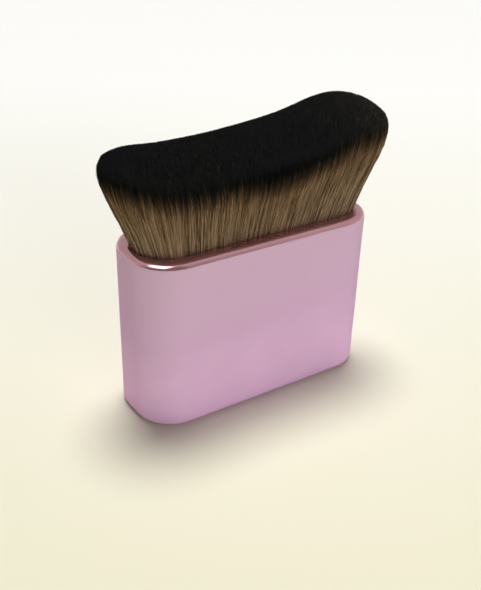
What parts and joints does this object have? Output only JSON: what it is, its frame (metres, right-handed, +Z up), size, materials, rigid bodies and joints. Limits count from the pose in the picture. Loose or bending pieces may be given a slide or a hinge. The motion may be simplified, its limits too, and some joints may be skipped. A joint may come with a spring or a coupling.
{
  "type": "fade brush",
  "caption": "Flat palm-grip fade brush that stands on its base: a pink anodised aluminium grip with a dense, flared, wave-trimmed head of dark-tipped filaments.",
  "frame": {"origin": "centre of the resting face, under the middle of the grip", "axes": "+Z up from the resting face to the bristles, +X along the width towards the higher end of the wave, +Y through the thin side"},
  "size_m": [0.0822, 0.0264, 0.0773],
  "materials": {
    "anodised_shell": "satin pink anodised, bright shoulder",
    "filament": "matt brown filament with black tips",
    "cup_plastic": "natural moulded",
    "resin": "cured, glossy",
    "core_plastic": "moulded",
    "weight_steel": "zinc plated",
    "foam": "closed-cell foam",
    "base_plastic": "fine satin moulded"
  },
  "bodies": {
    "root": {"handle_shell": "anodised_shell", "bristle_head": "filament", "bristle_cup": "cup_plastic", "resin_bed": "resin", "core_block": "core_plastic", "steel_weight": "weight_steel", "foam_pad": "foam", "base_plate": "base_plastic"}
  },
  "joints": []
}
